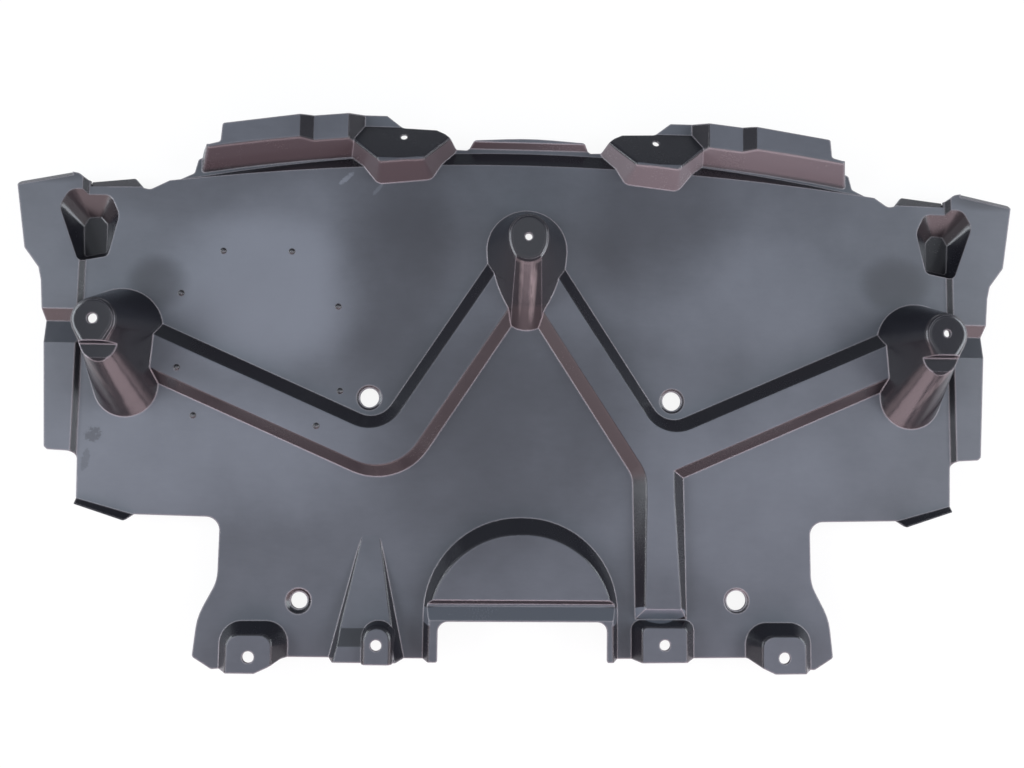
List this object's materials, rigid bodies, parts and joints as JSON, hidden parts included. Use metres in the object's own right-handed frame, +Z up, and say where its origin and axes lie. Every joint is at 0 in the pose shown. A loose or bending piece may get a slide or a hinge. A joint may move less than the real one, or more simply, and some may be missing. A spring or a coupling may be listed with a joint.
{
  "type": "engine splash shield",
  "caption": "Moulded plastic under-engine splash shield with three mounting towers, raised channels, wings, pockets and a rear cut-out.",
  "frame": {"origin": "middle of the sheet's outline, at the level of the pockets' undersides, its lowest points", "axes": "+Z up, the way the towers point; +X across, to the right seen from above with the towers' edge away; +Y to the front edge with the raised flanges"},
  "size_m": [1.0452, 0.5702, 0.0805],
  "materials": {
    "shield": "satin black moulded polypropylene"
  },
  "bodies": {
    "root": {"splash_shield": "shield"}
  },
  "joints": []
}
